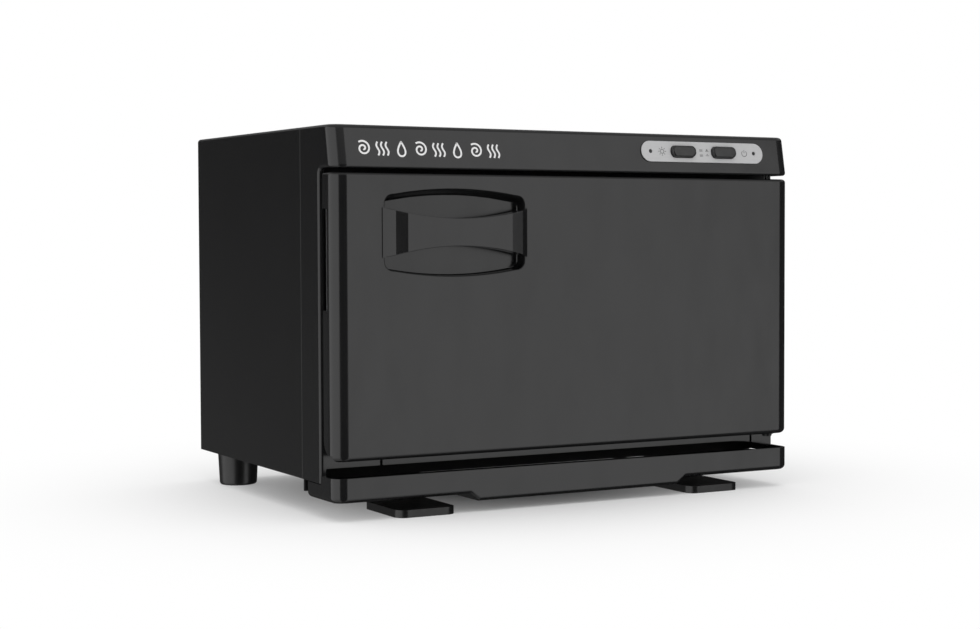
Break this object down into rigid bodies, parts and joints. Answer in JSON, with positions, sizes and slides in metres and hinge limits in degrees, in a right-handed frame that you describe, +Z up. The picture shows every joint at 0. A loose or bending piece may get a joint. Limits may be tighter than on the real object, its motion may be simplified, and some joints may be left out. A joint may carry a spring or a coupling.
{
  "type": "hot towel cabinet",
  "caption": "Bench-top heated cabinet for rolled towels, with a side-hinged door, recessed bar handle, push-button header, wire rack and slide-out drip tray.",
  "frame": {"origin": "centre of the cabinet's bounding box in plan, at the floor the feet stand on", "axes": "+Z up, -Y towards the front where the door is, +X to the right seen from the front"},
  "size_m": [0.35, 0.2618, 0.2497],
  "materials": {
    "case_paint": "black semi-gloss powder coat",
    "black_plastic": "black moulded plastic, smooth satin",
    "button_plastic": "charcoal moulded plastic",
    "silver_plate": "fine satin silver",
    "lens_plastic": "dark smoked lens",
    "white_plastic": "moulded",
    "circuit_board": "solder mask",
    "liner_metal": "fine brushed",
    "insulation_felt": "felted fibre",
    "lamp_glass": "clear tube",
    "lead_sheath": "matte sheath",
    "pin_metal": "bare",
    "foot_rubber": "matte moulded",
    "gasket_rubber": "soft silicone",
    "catch_plastic": "moulded",
    "bright_steel": "zinc plated"
  },
  "bodies": {
    "cabinet": {"outer_case": "case_paint", "base_pan": "case_paint", "rear_panel": "case_paint", "rear_screw_1": "bright_steel", "rear_screw_2": "bright_steel", "rear_screw_3": "bright_steel", "rear_screw_4": "bright_steel", "front_frame": "black_plastic", "control_plate": "silver_plate", "uv_indicator_lens": "lens_plastic", "power_indicator_lens": "lens_plastic", "indicator_board": "circuit_board", "uv_switch_body": "white_plastic", "power_switch_body": "white_plastic", "chamber_liner": "liner_metal", "heater_plate": "bright_steel", "thermostat": "white_plastic", "thermal_fuse": "white_plastic", "insulation_top": "insulation_felt", "insulation_bottom": "insulation_felt", "insulation_left": "insulation_felt", "insulation_right": "insulation_felt", "insulation_rear": "insulation_felt", "uv_tube": "lamp_glass", "uv_socket_left": "white_plastic", "uv_socket_right": "white_plastic", "lamp_ballast": "white_plastic", "wire_rack": "bright_steel", "rack_rail_left": "bright_steel", "rack_rail_right": "bright_steel", "power_inlet": "black_plastic", "inlet_pin_line": "pin_metal", "inlet_pin_neutral": "pin_metal", "inlet_pin_earth": "pin_metal", "supply_lead": "lead_sheath", "heater_lead": "lead_sheath", "magnet_catch": "catch_plastic", "hinge_bracket_lower": "case_paint", "hinge_bracket_upper": "case_paint", "hinge_pin_upper": "case_paint", "hinge_pin_lower": "case_paint", "tray_runner_left": "case_paint", "tray_runner_right": "case_paint", "front_foot_left": "foot_rubber", "front_foot_right": "foot_rubber", "front_foot_screw_left": "bright_steel", "front_foot_screw_right": "bright_steel", "rear_foot_left": "foot_rubber", "rear_foot_right": "foot_rubber", "rear_foot_screw_left": "bright_steel", "rear_foot_screw_right": "bright_steel"},
    "door": {"door_shell": "black_plastic", "handle_bar": "black_plastic", "door_inner_panel": "liner_metal", "door_insulation": "insulation_felt", "door_gasket": "gasket_rubber", "strike_plate": "bright_steel"},
    "drip_tray": {"drip_tray": "black_plastic"},
    "uv_button": {"uv_button": "button_plastic"},
    "power_button": {"power_button": "button_plastic"}
  },
  "joints": [
    {"name": "door_hinge", "type": "hinge", "parent": "cabinet", "child": "door", "pos_m": [0.163, -0.1119, 0.13], "axis": [0, 0, 1], "range_deg": [0, 100]},
    {"name": "drip_tray_slide", "type": "slide", "parent": "cabinet", "child": "drip_tray", "axis": [0, -1, 0], "range_m": [0, 0.045]},
    {"name": "uv_button_press", "type": "slide", "parent": "cabinet", "child": "uv_button", "axis": [0, 0.981, -0.1939], "range_m": [0, 0.003], "stiffness_N_per_m": 200},
    {"name": "power_button_press", "type": "slide", "parent": "cabinet", "child": "power_button", "axis": [0, 0.981, -0.1939], "range_m": [0, 0.003], "stiffness_N_per_m": 200}
  ]
}
